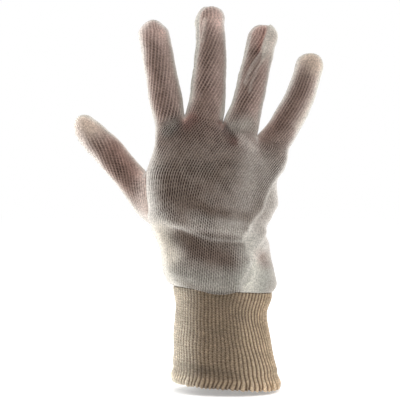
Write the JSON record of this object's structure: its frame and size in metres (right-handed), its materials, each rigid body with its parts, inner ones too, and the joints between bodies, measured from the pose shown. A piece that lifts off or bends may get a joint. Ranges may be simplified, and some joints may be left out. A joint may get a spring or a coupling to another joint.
{
  "type": "cotton work glove",
  "caption": "Right-hand stockinette glove of two sewn panels with a ribbed knit wrist, standing open in its worn form for a hand to go in.",
  "frame": {"origin": "centre of the wrist opening, at the hem of the knit wrist", "axes": "+Z from the wrist opening towards the fingertips, +X from the thumb side towards the little finger, +Y from the panel over the back of the hand to the panel over the palm"},
  "size_m": [0.1814, 0.0542, 0.2759],
  "materials": {
    "stockinette": "off-white single-jersey cotton knit, matt and a little fuzzy",
    "rib_knit": "natural beige one-by-one rib knit, matt"
  },
  "bodies": {
    "root": {"front_panel": "stockinette", "back_panel": "stockinette", "knit_wrist": "rib_knit"}
  },
  "joints": []
}
